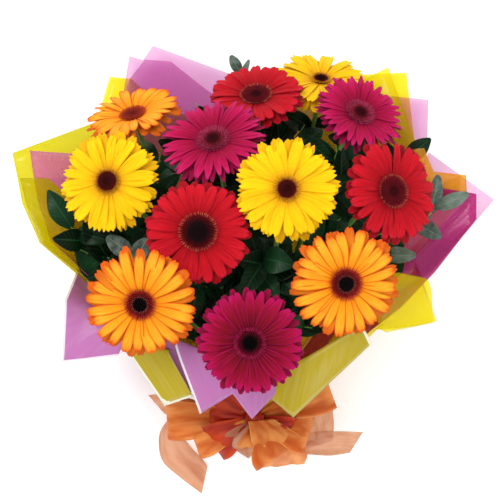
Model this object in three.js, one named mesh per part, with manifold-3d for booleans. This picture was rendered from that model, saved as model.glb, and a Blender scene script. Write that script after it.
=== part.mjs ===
// A hand-tied bunch of twelve gerberas with foliage, wrapped in coloured film and tied
// with an organza ribbon. It lies on its back, so the flowers look up and the tie is at -Y.
// Millimetres, +Z up. The origin is the middle of the underside.
import * as THREE from 'three';
import { mergeVertices } from 'three/addons/utils/BufferGeometryUtils.js';
import Module from 'manifold-3d';

const wasm = await Module();
wasm.setup();

// Driving dimensions
const TIE = new THREE.Vector3(5, -190, 42);
const LEAN = THREE.MathUtils.degToRad(22);
const HANDLE = 38;
const NECK = 12;
const STEM_PITCH = 7;
const STEM_RADIUS = 3;
const SPRIG_RADIUS = 1.6;
const STRING_INNER = 18.1;
const STRING_OUTER = 19.2;
const STRING_HALF = 4;
const WRAP_RADIUS = 21;
const WRAP_PITCH = 1.4;
const WRAP_SKIRT = 26;
const WRAP_DROP = 3;
const FLAT_BELOW = 10;
const LIFT_OVER = 50;
const FILM = 0.6;
const FILM_ROWS = 9;
const OUTER_LAYER = 3;
const FLOOR_PITCH = 1.8;
const BAND_INNER = 28.6;
const BAND_OUTER = 30;
const BAND_HALF = 13;
const KNOT_RISE = 11;
const RIBBON = 0.8;
const GAP = 0.4;
const STALK_LEAVES = 0.32;
const STALK_ARRIVES = 0.25;
const STEM_SINKS = 8;
const CUP = [[0, -17], [4.2, -15], [10.5, -6], [11, -GAP], [0, -GAP]];
const PETAL_FLAT = 20.5;
const PETAL_THICK = 1.6;
const SCALLOPS = 12;
const SCALLOP_DEPTH = 0.06;
const DISC_LOW = 2;
const DISC_SHOULDER = 4.2;
const DISC_HIGH = 6.6;
const DISC_HOLLOW = 5.6;
const LEAF = 0.8;
const LEAF_ARCH = 0.1;

// Base colours
const CRIMSON = { petal: 0x96103c, middle: 0x3a0814 };
const ORANGE = { petal: 0xf7a820, middle: 0x3c0c0a };
const RED = { petal: 0xc01428, middle: 0x2a0408 };
const YELLOW = { petal: 0xfcd41a, middle: 0x4a0a08 };
const PINK = { petal: 0xc82664, middle: 0x3c0814 };
const STEM_GREEN = 0x4f7a3a;
const LEAF_GREEN = 0x122a18;
const GUM_GREY = 0x6a6d5a;
const FILM_PINK = 0xc67cb7;
const FILM_YELLOW = 0xe1d62c;
const TWINE = 0xb8a77c;
const RIBBON_ORANGE = 0xd9772e;
const RIBBON_PEACH = 0xd99062;

// The bundle's own axes: AXIS runs up the stems, FRONT is the side that looks up
const SIDE = new THREE.Vector3(1, 0, 0);
const AXIS = new THREE.Vector3(0, Math.cos(LEAN), Math.sin(LEAN));
const FRONT = new THREE.Vector3(0, -Math.sin(LEAN), Math.cos(LEAN));

// Each gerbera: where its head is, how far it tips from level and towards which side,
// its width and the width of its middle, how far its petals rise to their tips, its place
// in the bundle and its colours
const gerberas = [
  { name: 'crimson_front', at: [0, -91, 225], tip: 5, towards: -90, width: 104,
    eye: 30, rise: -1.5, slot: [0, 2], tone: CRIMSON },
  { name: 'orange_left', at: [-108, -53, 222], tip: 13, towards: -110, width: 111,
    eye: 30, rise: -1.5, slot: [-2, 2], tone: ORANGE },
  { name: 'orange_right', at: [95, -33, 215], tip: 10, towards: -60, width: 109,
    eye: 32, rise: -1.5, slot: [2, 2], tone: ORANGE },
  { name: 'red_left', at: [-52, 18, 203], tip: 5, towards: 90, width: 104,
    eye: 38, rise: -1.5, slot: [-1, 1], tone: RED },
  { name: 'yellow_centre', at: [37, 61, 205], tip: 3, towards: 90, width: 102,
    eye: 24, rise: -1.5, slot: [1, 1], tone: YELLOW },
  { name: 'yellow_left', at: [-147, 71, 165], tip: 12, towards: 160, width: 102,
    eye: 26, rise: -1.5, slot: [-4, 0], tone: YELLOW },
  { name: 'red_right', at: [146, 60, 170], tip: 27, towards: 14, width: 105,
    eye: 34, rise: 4, slot: [3, 1], tone: RED },
  { name: 'pink_top', at: [-38, 114, 155], tip: 38, towards: 105, width: 112,
    eye: 34, rise: 5, slot: [-2, 0], tone: PINK },
  { name: 'pink_right', at: [119, 148, 105], tip: 35, towards: 60, width: 100,
    eye: 32, rise: 7, slot: [2, 0], tone: PINK },
  { name: 'red_top', at: [7, 169, 91], tip: 45, towards: 97, width: 103,
    eye: 34, rise: 6, slot: [1, -1], tone: RED },
  { name: 'orange_top_left', at: [-128, 147, 95], tip: 54, towards: 105, width: 103,
    eye: 28, rise: 8, slot: [-2, -2], tone: ORANGE },
  { name: 'yellow_top_right', at: [80, 191, 57], tip: 50, towards: 85, width: 107,
    eye: 20, rise: 5, slot: [2, -2], tone: YELLOW },
];

// Each sprig: its place in the bundle, the point its stalk reaches and its leaves, each
// with the share of the stalk it grows from, its tip and its width. A branch leaves the
// stalk at its own share and has leaves of its own
const sprigs = [
  { name: 'leaves_left', slot: [-3, -1], reach: [-198, 26, 92], leaf: LEAF_GREEN,
    leaves: [[0.99, [-222, 66, 96], 26], [0.93, [-214, 12, 108], 26], [0.85, [-178, 40, 118], 28],
      [0.76, [-176, -30, 112], 26], [0.66, [-118, 4, 96], 30]] },
  { name: 'eucalyptus_left', slot: [-3, 1], reach: [-128, -2, 145], leaf: GUM_GREY,
    leaves: [[0.99, [-150, 14, 152], 20], [0.96, [-108, 12, 150], 20], [0.88, [-136, -22, 140], 18],
      [0.8, [-86, -8, 134], 20]] },
  { name: 'leaves_centre', slot: [0, 0], reach: [14, -6, 150], leaf: LEAF_GREEN,
    leaves: [[0.99, [46, -16, 168], 30], [0.96, [-12, -10, 168], 30], [0.9, [30, -48, 152], 26],
      [0.82, [-22, -44, 150], 26], [0.72, [-8, 26, 112], 24]] },
  { name: 'leaves_back', slot: [-1, -1], reach: [-6, 72, 112], leaf: LEAF_GREEN,
    leaves: [[0.99, [12, 110, 122], 30], [0.94, [-36, 62, 132], 28], [0.86, [34, 60, 118], 28],
      [0.74, [-40, 18, 102], 28]],
    branch: { share: 0.55, reach: [74, 112, 110],
      leaves: [[0.99, [78, 124, 108], 14], [0.93, [58, 122, 114], 14], [0.8, [92, 98, 112], 16]] } },
  { name: 'eucalyptus_right', slot: [4, 0], reach: [206, 48, 92], leaf: GUM_GREY,
    leaves: [[0.995, [240, 62, 96], 17], [0.97, [206, 82, 100], 17], [0.92, [208, 14, 104], 19],
      [0.86, [176, 58, 100], 18], [0.78, [182, -6, 96], 19]] },
  { name: 'leaves_right', slot: [3, -1], reach: [176, 104, 62], leaf: LEAF_GREEN,
    leaves: [[0.99, [204, 126, 62], 22], [0.94, [152, 118, 82], 26], [0.85, [174, 62, 74], 28],
      [0.72, [100, 40, 78], 30]] },
  { name: 'eucalyptus_top', slot: [0, -2], reach: [-12, 206, 38], leaf: GUM_GREY,
    leaves: [[0.995, [-20, 226, 46], 13], [0.97, [4, 220, 48], 13], [0.9, [-36, 178, 44], 17],
      [0.84, [20, 150, 36], 17]] },
];

// Each sheet of film: its layer in the wrap, the stretch of the bundle that it is gathered
// round (degrees from FRONT towards +X), its outer edge, and where the sheet is folded
// outwards the crest of that fold
const films = [
  { name: 'film_pink_front', colour: FILM_PINK, layer: 0, from: -62, to: 14, columns: 2,
    crest: [[-78, -92, 172], [-36, -108, 177], [0, -116, 178], [30, -114, 179]],
    edge: [[-53, -173, 143], [-18, -150, 160], [2, -177, 154], [26, -149, 168]] },
  { name: 'film_yellow_front_left', colour: FILM_YELLOW, layer: 1, from: -84, to: -44, columns: 5,
    crest: [[-138, -86, 156], [-84, -104, 168]],
    edge: [[-91, -166, 134], [-60, -154, 146]] },
  { name: 'film_yellow_front_right', colour: FILM_YELLOW, layer: 1, from: 8, to: 66, columns: 3,
    crest: [[22, -126, 165], [60, -110, 172], [114, -80, 158]],
    edge: [[22, -156, 150], [46, -178, 136], [129, -98, 144]] },
  { name: 'film_pink_left_low', colour: FILM_PINK, layer: 2, from: -108, to: -72, columns: 2,
    crest: [[-172, -54, 42], [-172, -64, 80], [-150, -84, 128], [-128, -94, 140]],
    edge: [[-196, -20, 44], [-204, -55, 92], [-202, -120, 120], [-140, -112, 140]] },
  { name: 'film_yellow_right', colour: FILM_YELLOW, layer: 2, from: 68, to: 106, columns: 3,
    crest: [[134, -84, 142], [168, -67, 108], [166, -44, 48]],
    edge: [[146, -88, 138], [204, -78, 112], [188, -14, 54]] },
  { name: 'film_yellow_left', colour: FILM_YELLOW, layer: 1, from: -152, to: -100, columns: 2,
    edge: [[-150, 160, 18], [-267, 109, 66], [-257, 53, 60], [-237, 8, 62], [-186, -30, 94]] },
  { name: 'film_pink_left', colour: FILM_PINK, layer: 0, from: -146, to: -102, columns: 2,
    edge: [[-168, 108, 44], [-246, 111, 74], [-238, 56, 70], [-222, 10, 76], [-176, -28, 110]] },
  { name: 'film_pink_right', colour: FILM_PINK, layer: 0, from: 104, to: 138, columns: 4,
    edge: [[200, -22, 102], [272, 56, 78], [202, 110, 60]] },
  { name: 'film_yellow_right_back', colour: FILM_YELLOW, layer: 1, from: 115, to: 165, columns: 2,
    edge: [[207, 12, 50], [238, 57, 52], [240, 84, 48], [208, 74, 40], [161, 213, 18],
      [88, 176, 12]] },
  { name: 'film_pink_back', colour: FILM_PINK, layer: 2, from: 135, to: 213, columns: 2,
    edge: [[206, 100, 14], [209, 176, 12], [110, 186, 8], [-14, 203, 9], [-113, 238, 18],
      [-125, 222, 14], [-141, 227, 14], [-158, 120, 14]] },
  { name: 'film_yellow_back', colour: FILM_YELLOW, layer: 3, from: 137, to: 221, columns: 2,
    edge: [[196, 110, 2], [184, 209, 4], [90, 204, 3], [36, 160, 2], [-96, 160, 2],
      [-140, 202, 2], [-165, 204, 4], [-190, 120, 2]] },
];

// Each ribbon end: its two long edges, from the knot out
const tails = [
  { name: 'ribbon_tail_left',
    left: [[-8, -219, 62], [-42, -204, 64], [-84, -186, 76], [-99, -200, 66], [-104, -224, 46],
      [-100, -246, 26], [-80, -268, 10], [-57, -287, 3]],
    right: [[-8, -230, 54], [-38, -226, 54], [-70, -200, 68], [-85, -202, 61], [-76, -214, 44],
      [-66, -230, 28], [-57, -243, 12], [-50, -254, 4]] },
  { name: 'ribbon_tail_centre',
    left: [[2, -222, 90], [4, -237, 70], [6, -250, 42]],
    right: [[32, -216, 92], [60, -228, 70], [62, -244, 44]] },
  { name: 'ribbon_tail_right',
    left: [[24, -218, 64], [64, -208, 62], [98, -205, 62], [128, -206, 56]],
    right: [[24, -230, 56], [62, -232, 50], [92, -234, 48], [114, -232, 42]] },
];

function vector(triple) {
  return new THREE.Vector3(...triple);
}

// A point of the bundle: across and forward in mm, up along the stems
function bundlePoint(across, forward, along) {
  return TIE.clone()
    .addScaledVector(SIDE, across)
    .addScaledVector(FRONT, forward)
    .addScaledVector(AXIS, along);
}

// The stems pack like stacked pipes, so a slot counts half pitches across and rows forward
function slotPoint([halfSteps, rows], along) {
  return bundlePoint(halfSteps * STEM_PITCH / 2, rows * STEM_PITCH * Math.sqrt(3) / 2, along);
}

function solid(geometry) {
  const bare = geometry.clone();
  bare.deleteAttribute('normal');
  bare.deleteAttribute('uv');
  const merged = mergeVertices(bare, 1e-4);
  return new wasm.Manifold(new wasm.Mesh({
    numProp: 3,
    vertProperties: new Float32Array(merged.attributes.position.array),
    triVerts: new Uint32Array(merged.index.array),
  }));
}

function joined(geometries) {
  const whole = geometries.map(solid).reduce((sum, piece) => sum.add(piece));
  const mesh = whole.getMesh();
  const geometry = new THREE.BufferGeometry();
  geometry.setAttribute('position', new THREE.BufferAttribute(mesh.vertProperties, 3));
  geometry.setIndex(new THREE.BufferAttribute(mesh.triVerts, 1));
  return geometry;
}

// A thin slab that follows surface(u, v), u and v from 0 to 1. Its two sides are the same
// grid of triangles, so they stay one thickness apart where the surface twists
function slab(surface, columns, rows, thickness) {
  const grid = new THREE.PlaneGeometry(1, 1, columns, rows);
  const count = grid.attributes.position.count;
  const step = 1e-3;
  const corners = [];
  for (const side of [0.5, -0.5]) {
    for (let i = 0; i < count; i += 1) {
      const u = grid.attributes.position.getX(i) + 0.5;
      const v = grid.attributes.position.getY(i) + 0.5;
      const alongU = surface(Math.min(u + step, 1), v).sub(surface(Math.max(u - step, 0), v));
      const alongV = surface(u, Math.min(v + step, 1)).sub(surface(u, Math.max(v - step, 0)));
      const normal = alongU.cross(alongV).normalize();
      corners.push(...surface(u, v).addScaledVector(normal, side * thickness).toArray());
    }
  }
  const front = Array.from(grid.index.array);
  const back = front.map((corner) => corner + count).reverse();
  const geometry = new THREE.BufferGeometry();
  geometry.setAttribute('position', new THREE.Float32BufferAttribute(corners, 3));
  geometry.setIndex([...front, ...back, ...rimOf(columns, rows, count)]);
  return geometry;
}

// The triangles that close the rim between the two sides of a slab's grid
function rimOf(columns, rows, count) {
  const across = columns + 1;
  const loop = [];
  for (let i = 0; i < columns; i += 1) loop.push(i);
  for (let j = 0; j < rows; j += 1) loop.push(j * across + columns);
  for (let i = columns; i > 0; i -= 1) loop.push(rows * across + i);
  for (let j = rows; j > 0; j -= 1) loop.push(j * across);
  return loop.flatMap((here, place) => {
    const next = loop[(place + 1) % loop.length];
    return [here, next, here + count, next, next + count, here + count];
  });
}

// A point of a list of points joined by straight lines, u from 0 to 1
function alongPoints(points, u) {
  const place = u * (points.length - 1);
  const index = Math.min(Math.floor(place), points.length - 2);
  return points[index].clone().lerp(points[index + 1], place - index);
}

function stalkPath(slot, end, facing) {
  const foot = slotPoint(slot, -HANDLE);
  const neck = slotPoint(slot, NECK);
  const span = neck.distanceTo(end);
  const leave = neck.clone().addScaledVector(AXIS, span * STALK_LEAVES);
  const arrive = end.clone().addScaledVector(facing, -span * STALK_ARRIVES);
  const path = new THREE.CurvePath();
  path.add(new THREE.LineCurve3(foot, neck));
  path.add(new THREE.CubicBezierCurve3(neck, leave, arrive, end));
  return path;
}

function stalk(path, radius, sides, steps) {
  const section = new THREE.Shape();
  for (let i = 0; i < sides; i += 1) {
    const angle = i * 2 * Math.PI / sides;
    section.lineTo(radius * Math.cos(angle), radius * Math.sin(angle));
  }
  return new THREE.ExtrudeGeometry(section, { steps, bevelEnabled: false, extrudePath: path });
}

function facingOf(flower) {
  const tip = THREE.MathUtils.degToRad(flower.tip);
  const towards = THREE.MathUtils.degToRad(flower.towards);
  const level = Math.sin(tip);
  return new THREE.Vector3(level * Math.cos(towards), level * Math.sin(towards), Math.cos(tip));
}

function finish(name, geometry, colour, roughness) {
  const material = new THREE.MeshStandardMaterial({ color: colour, roughness, metalness: 0 });
  const mesh = new THREE.Mesh(geometry, material);
  mesh.name = name;
  return mesh;
}

function lathe(profile, segments) {
  const line = profile.map(([r, z]) => new THREE.Vector2(r, z));
  return new THREE.LatheGeometry(line, segments).rotateX(Math.PI / 2);
}

function turnTo(direction) {
  return new THREE.Quaternion().setFromUnitVectors(new THREE.Vector3(0, 0, 1), direction);
}

// The green stem with the cup of bracts under the flower
function gerberaStem(flower) {
  const facing = facingOf(flower);
  const head = vector(flower.at);
  const cup = lathe(CUP, 8);
  cup.applyQuaternion(turnTo(facing)).translate(head.x, head.y, head.z);
  const top = head.clone().addScaledVector(facing, -STEM_SINKS);
  return joined([stalk(stalkPath(flower.slot, top, facing), STEM_RADIUS, 6, 9), cup]);
}

// The ring of petals: a shallow dish with a scalloped rim
function petalRing(flower) {
  const rim = flower.width / 2;
  const profile = [
    [0, 0],
    [PETAL_FLAT, 0],
    [rim, flower.rise],
    [PETAL_FLAT, PETAL_THICK],
    [0, PETAL_THICK],
  ];
  const dish = lathe(profile, SCALLOPS * 2);
  const position = dish.attributes.position;
  for (let i = 0; i < position.count; i += 1) {
    const radius = Math.hypot(position.getX(i), position.getY(i));
    const angle = Math.atan2(position.getY(i), position.getX(i));
    const notch = 1 - SCALLOP_DEPTH * (1 - Math.cos(angle * SCALLOPS)) / 2;
    if (radius > rim - 1) {
      position.setX(i, position.getX(i) * notch);
      position.setY(i, position.getY(i) * notch);
    }
  }
  return dish;
}

// The round middle of small florets
function middleDisc(flower) {
  const rim = flower.eye / 2;
  const profile = [
    [0, DISC_LOW],
    [rim, DISC_LOW],
    [rim, DISC_SHOULDER],
    [rim * 0.55, DISC_HIGH],
    [0, DISC_HOLLOW],
  ];
  return lathe(profile, 10);
}

// A leaf from its foot to its tip, arched a little
function leaf(foot, tip, width) {
  const along = tip.clone().sub(foot);
  const length = along.length();
  const across = along.clone().cross(new THREE.Vector3(0, 0, 1)).normalize();
  const up = across.clone().cross(along).normalize();
  return slab((u, v) => {
    const outline = Math.sin(Math.PI * Math.min(1, u * 0.92 + 0.04) ** 0.85);
    const half = LEAF + (width / 2 - LEAF) * outline;
    const rise = length * LEAF_ARCH * Math.sin(Math.PI * u);
    return foot.clone()
      .addScaledVector(along, u)
      .addScaledVector(across, (1 - 2 * v) * half)
      .addScaledVector(up, rise);
  }, 4, 1, LEAF);
}

function leavesOn(path, leaves) {
  return leaves.map(([share, tip, width]) => leaf(path.getPointAt(share), vector(tip), width));
}

function sprig(plan) {
  const end = vector(plan.reach);
  const facing = end.clone().sub(TIE).normalize();
  const path = stalkPath(plan.slot, end, facing);
  const pieces = [stalk(path, SPRIG_RADIUS, 5, 9), ...leavesOn(path, plan.leaves)];
  if (plan.branch) {
    const fork = path.getPointAt(plan.branch.share);
    const tip = vector(plan.branch.reach);
    const elbow = fork.clone().lerp(tip, 0.5).add(new THREE.Vector3(0, 12, -8));
    const twig = new THREE.QuadraticBezierCurve3(fork, elbow, tip);
    pieces.push(stalk(twig, SPRIG_RADIUS * 0.8, 5, 4), ...leavesOn(twig, plan.branch.leaves));
  }
  return joined(pieces);
}

// A sheet of film: gathered round the bundle, then opening to its outer edge
function film(sheet) {
  const edge = sheet.edge.map(vector);
  const crest = sheet.crest ? sheet.crest.map(vector) : null;
  const radius = WRAP_RADIUS + sheet.layer * WRAP_PITCH;
  const floor = FILM / 2 + (OUTER_LAYER - sheet.layer) * FLOOR_PITCH;
  const surface = (u, v) => {
    const angle = THREE.MathUtils.degToRad(sheet.from + (sheet.to - sheet.from) * u);
    const across = radius * Math.sin(angle);
    const forward = radius * Math.cos(angle);
    const outer = alongPoints(edge, u);
    const gathered = bundlePoint(across, forward, NECK);
    const bend = crest ? alongPoints(crest, u) : gathered.clone().lerp(outer, 0.6);
    if (!crest) {
      bend.z *= THREE.MathUtils.clamp((outer.z - FLAT_BELOW) / LIFT_OVER, 0, 1);
      bend.z -= sheet.layer * WRAP_DROP;
    }
    const wall = gathered.clone().lerp(bend, 0.5);
    wall.addScaledVector(FRONT, sheet.layer * WRAP_DROP * Math.cos(angle));
    wall.addScaledVector(SIDE, sheet.layer * WRAP_DROP * Math.sin(angle));
    const line = new THREE.CatmullRomCurve3([
      bundlePoint(across, forward, -WRAP_SKIRT),
      bundlePoint(across, forward, -NECK / 2),
      gathered,
      wall,
      bend,
      outer,
    ], false, 'centripetal');
    // The first row takes in the straight skirt, so the open part has finer rows
    const point = line.getPoint(Math.min(1.8 * v, 0.1 + 0.9 * v));
    point.z = Math.max(point.z, floor);
    return point;
  };
  return slab(surface, sheet.columns * (edge.length - 1), FILM_ROWS, FILM);
}

function ribbonEnd(tail) {
  const left = new THREE.CatmullRomCurve3(tail.left.map(vector));
  const right = new THREE.CatmullRomCurve3(tail.right.map(vector));
  return slab((u, v) => right.getPoint(v).lerp(left.getPoint(v), u), 2, (tail.left.length - 1) * 2, RIBBON);
}

// A ring round the bundle, centred on the tie
function ring(inner, outer, half, segments) {
  const profile = [[inner, -half], [outer, -half], [outer, half], [inner, half], [inner, -half]];
  return lathe(profile, segments).applyQuaternion(turnTo(AXIS)).translate(TIE.x, TIE.y, TIE.z);
}

// A soft rounded mass, turned by some degrees about +Z
function lump(centre, halfSizes, turn) {
  return new THREE.SphereGeometry(1, 12, 6)
    .scale(...halfSizes)
    .rotateZ(THREE.MathUtils.degToRad(turn))
    .translate(...centre);
}

// The band round the wrap, the knot on its front and the outer shape of the two bow loops
function bow() {
  const knot = bundlePoint(0, BAND_OUTER + KNOT_RISE, 0);
  return joined([
    ring(BAND_INNER, BAND_OUTER, BAND_HALF, 18),
    lump(knot.toArray(), [16, 13, 14], 0),
    lump([-40, -196, 80], [50, 22, 10], 0),
    lump([48, -187, 82], [46, 19, 9], 24),
  ]);
}

const bouquet = new THREE.Group();
for (const flower of gerberas) {
  const stem = finish(`stem_${flower.name}`, gerberaStem(flower), STEM_GREEN, 0.6);
  const petals = finish(`petals_${flower.name}`, petalRing(flower), flower.tone.petal, 0.6);
  const middle = finish(`disc_${flower.name}`, middleDisc(flower), flower.tone.middle, 0.8);
  for (const piece of [petals, middle]) {
    piece.position.copy(vector(flower.at));
    piece.quaternion.copy(turnTo(facingOf(flower)));
  }
  bouquet.add(stem, petals, middle);
}
for (const plan of sprigs) {
  bouquet.add(finish(plan.name, sprig(plan), plan.leaf, 0.5));
}
for (const sheet of films) {
  bouquet.add(finish(sheet.name, film(sheet), sheet.colour, 0.25));
}
bouquet.add(finish('tie_string', ring(STRING_INNER, STRING_OUTER, STRING_HALF, 16), TWINE, 0.9));
bouquet.add(finish('ribbon_bow', bow(), RIBBON_ORANGE, 0.6));
for (const tail of tails) {
  bouquet.add(finish(tail.name, ribbonEnd(tail), RIBBON_PEACH, 0.6));
}

// Stand the model on the middle of its underside
const box = new THREE.Box3().setFromObject(bouquet, true);
const middle = box.getCenter(new THREE.Vector3());
bouquet.position.set(-middle.x, -middle.y, -box.min.z);
const group = new THREE.Group();
group.add(bouquet);

export default group;
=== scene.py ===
import math
import random

import bmesh
import bpy
from mathutils import Matrix, Vector, noise


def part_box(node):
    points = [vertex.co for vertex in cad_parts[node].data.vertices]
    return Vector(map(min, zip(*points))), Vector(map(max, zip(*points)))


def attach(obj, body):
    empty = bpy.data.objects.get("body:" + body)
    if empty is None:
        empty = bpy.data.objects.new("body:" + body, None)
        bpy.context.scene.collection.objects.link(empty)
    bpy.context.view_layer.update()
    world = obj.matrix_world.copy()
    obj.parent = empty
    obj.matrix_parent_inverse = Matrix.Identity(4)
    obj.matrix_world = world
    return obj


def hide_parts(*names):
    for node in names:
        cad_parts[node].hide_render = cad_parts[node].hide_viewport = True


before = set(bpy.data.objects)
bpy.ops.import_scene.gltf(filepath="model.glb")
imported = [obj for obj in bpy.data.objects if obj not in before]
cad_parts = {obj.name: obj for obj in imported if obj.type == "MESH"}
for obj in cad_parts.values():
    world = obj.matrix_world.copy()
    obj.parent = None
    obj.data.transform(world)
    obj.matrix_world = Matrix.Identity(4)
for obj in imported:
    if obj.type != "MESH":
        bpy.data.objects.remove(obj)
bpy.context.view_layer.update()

# The bunch is planned in millimetres, and its tie is at TIE_PLAN there
MM = 0.001
DISC_LOW = 2.0
TIE_PLAN = Vector((5, -190, 42))
LEAN = math.radians(22)
HANDLE = 38
NECK = 12
STEM_PITCH = 7
STEM_RADIUS = 3.0
SPRIG_RADIUS = 1.6
WRAP_RADIUS = 21
WRAP_PITCH = 1.4
WRAP_SKIRT = 26
WRAP_DROP = 3
FLAT_BELOW = 10
LIFT_OVER = 50
FILM = 0.6
OUTER_LAYER = 3
FLOOR_PITCH = 1.8
GOLDEN_TURN = math.radians(137.508)
FLAP_FROM = 0.74
# Tones of the lower and upper petal rows: the lower tones paint the lower row darker, as shade under the
# upper row
LOWER_TONES = (0.0, 0.46)
UPPER_TONES = (0.54, 1.0)
SHEET_SKIN = 0.25
PETAL_SKIN = 0.4
LEAF_SKIN = 0.5
NO_RIM = 100.0
LOWEST_LEAF = 14

SIDE = Vector((1, 0, 0))
AXIS = Vector((0, math.cos(LEAN), math.sin(LEAN)))
FRONT = Vector((0, -math.sin(LEAN), math.cos(LEAN)))
UP = Vector((0, 0, 1))

tie_low, tie_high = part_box("tie_string")
TIE = (Vector(tie_low) + Vector(tie_high)) / 2


def spot(point):
    """A planned point as a place in the frame."""
    return TIE + (Vector(point) - TIE_PLAN) * MM


def bundle_point(across, forward, along):
    """A planned point from its place in the bundle: across, towards its front and up its stems."""
    return TIE_PLAN + SIDE * across + FRONT * forward + AXIS * along


def slot_point(slot, along):
    half_steps, rows = slot
    return bundle_point(half_steps * STEM_PITCH / 2, rows * STEM_PITCH * math.sqrt(3) / 2, along)


# ---------------------------------------------------------------- finishes


def colour(code):
    """A linear colour from a six-digit sRGB code."""
    parts = [int(code[i:i + 2], 16) / 255 for i in (0, 2, 4)]
    return (*[p / 12.92 if p <= 0.04045 else ((p + 0.055) / 1.055) ** 2.4 for p in parts], 1.0)


def join(tree, value, socket):
    if isinstance(value, bpy.types.NodeSocket):
        tree.links.new(value, socket)
    else:
        socket.default_value = value


def add(tree, kind, sockets=None, **settings):
    made = tree.nodes.new(kind)
    for key, value in settings.items():
        setattr(made, key, value)
    for key, value in (sockets or {}).items():
        join(tree, value, made.inputs[key])
    return made


def maths(tree, operation, *values, clamp=False):
    made = add(tree, "ShaderNodeMath", dict(enumerate(values)), operation=operation, use_clamp=clamp)
    return made.outputs[0]


def times(tree, *values, clamp=False):
    return maths(tree, "MULTIPLY", *values, clamp=clamp)


def plus(tree, *values, clamp=False):
    return maths(tree, "ADD", *values, clamp=clamp)


def mixed(tree, factor, first, second, blend="MIX"):
    made = add(tree, "ShaderNodeMix", {0: factor, 6: first, 7: second}, data_type="RGBA", blend_type=blend)
    return made.outputs[2]


def ramp(tree, factor, stops):
    made = add(tree, "ShaderNodeValToRGB", {0: factor})
    band = made.color_ramp
    while len(band.elements) < len(stops):
        band.elements.new(0.5)
    for element, (place, code) in zip(band.elements, stops):
        element.position = place
        element.color = colour(code)
    return made.outputs[0]


def mask(tree, value, low, high):
    """From 0 at low to 1 at high."""
    made = add(tree, "ShaderNodeMapRange", {0: value, 1: low, 2: high}, interpolation_type="SMOOTHSTEP")
    return made.outputs[0]


def mark(tree, name):
    return add(tree, "ShaderNodeAttribute", attribute_name=name).outputs["Fac"]


def marks(tree):
    """Where on its leaf, petal or sheet a point is, and that one's own tone."""
    return mark(tree, "across"), mark(tree, "along"), mark(tree, "tone")


def vector(tree, x, y, z):
    return add(tree, "ShaderNodeCombineXYZ", {0: x, 1: y, 2: z}).outputs[0]


def cloud(tree, place, scale, detail=3.0):
    return add(tree, "ShaderNodeTexNoise", {"Vector": place, "Scale": scale, "Detail": detail}).outputs[0]


def object_place(tree):
    return add(tree, "ShaderNodeTexCoord").outputs["Object"]


def material(name, **sockets):
    made = bpy.data.materials.new(name)
    made.use_nodes = True
    shader = made.node_tree.nodes["Principled BSDF"]
    for key, value in sockets.items():
        shader.inputs[key.replace("_", " ")].default_value = value
    return made, made.node_tree, shader


def paint(tree, shader, value):
    tree.links.new(value, shader.inputs["Base Color"])


def bump(tree, shader, height, strength, distance):
    made = add(tree, "ShaderNodeBump", {"Height": height, "Strength": strength, "Distance": distance})
    tree.links.new(made.outputs[0], shader.inputs["Normal"])


def effect(name, inputs, outputs):
    """An empty node group with named float inputs and outputs."""
    group = bpy.data.node_groups.new(name, "ShaderNodeTree")
    for socket in inputs:
        group.interface.new_socket(name=socket, in_out="INPUT", socket_type="NodeSocketFloat")
    for socket in outputs:
        group.interface.new_socket(name=socket, in_out="OUTPUT", socket_type="NodeSocketFloat")
    return group, add(group, "NodeGroupInput").outputs, add(group, "NodeGroupOutput").inputs


def placed(tree, group, **inputs):
    made = tree.nodes.new("ShaderNodeGroup")
    made.node_tree = group
    for key, value in inputs.items():
        join(tree, value, made.inputs[key])
    return made.outputs


def petal_grain_effect():
    """Fine lengthwise streaks and two soft furrows down a petal."""
    group, given, out = effect("petal_grain", ("Across", "Along", "Tone"), ("Streak", "Height"))
    lengthwise = vector(
        group, times(group, given["Across"], 7.0), times(group, given["Along"], 1.6),
        times(group, given["Tone"], 37.0))
    fine = cloud(group, lengthwise, 1.6, 4.0)
    furrow = maths(group, "COSINE", times(group, given["Across"], 8.4))
    group.links.new(mask(group, fine, 0.36, 0.66), out["Streak"])
    height = plus(group, times(group, furrow, 0.35), fine)
    group.links.new(height, out["Height"])
    return group


def leaf_veins_effect():
    """A midrib and slanting side veins, as a mask, with the height they give a leaf."""
    group, given, out = effect("leaf_veins", ("Across", "Along", "Tone"), ("Vein", "Height"))
    side = maths(group, "ABSOLUTE", given["Across"])
    rows = times(group, given["Along"], 9.0)
    slant = maths(group, "SUBTRACT", rows, times(group, side, 1.7))
    slant = plus(group, slant, given["Tone"])
    wave = maths(group, "ABSOLUTE", maths(group, "SUBTRACT", maths(group, "FRACT", slant), 0.5))
    midrib = mask(group, side, 0.1, 0.02)
    veins = maths(group, "MAXIMUM", midrib, times(group, mask(group, wave, 0.09, 0.0), 0.6))
    group.links.new(veins, out["Vein"])
    group.links.new(maths(group, "SUBTRACT", 1.0, veins), out["Height"])
    return group


def film_creases_effect():
    """Crumple lines that run out from the tie, with soft pale cloudy patches."""
    group, given, out = effect("film_creases", ("Across", "Along", "Tone"), ("Haze", "Height"))
    place = vector(
        group, times(group, given["Across"], 3.0), times(group, given["Along"], 2.0),
        times(group, given["Tone"], 11.0))
    warped = add(group, "ShaderNodeTexVoronoi", {"Vector": place, "Scale": 2.2, "Randomness": 1.0},
                 feature="DISTANCE_TO_EDGE").outputs[0]
    soft = cloud(group, place, 2.4, 5.0)
    height = plus(group, times(group, mask(group, warped, 0.0, 0.12), 0.5), soft)
    group.links.new(mask(group, soft, 0.35, 0.7), out["Haze"])
    group.links.new(height, out["Height"])
    return group


PETAL_GRAIN = petal_grain_effect()
LEAF_VEINS = leaf_veins_effect()
FILM_CREASES = film_creases_effect()


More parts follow.
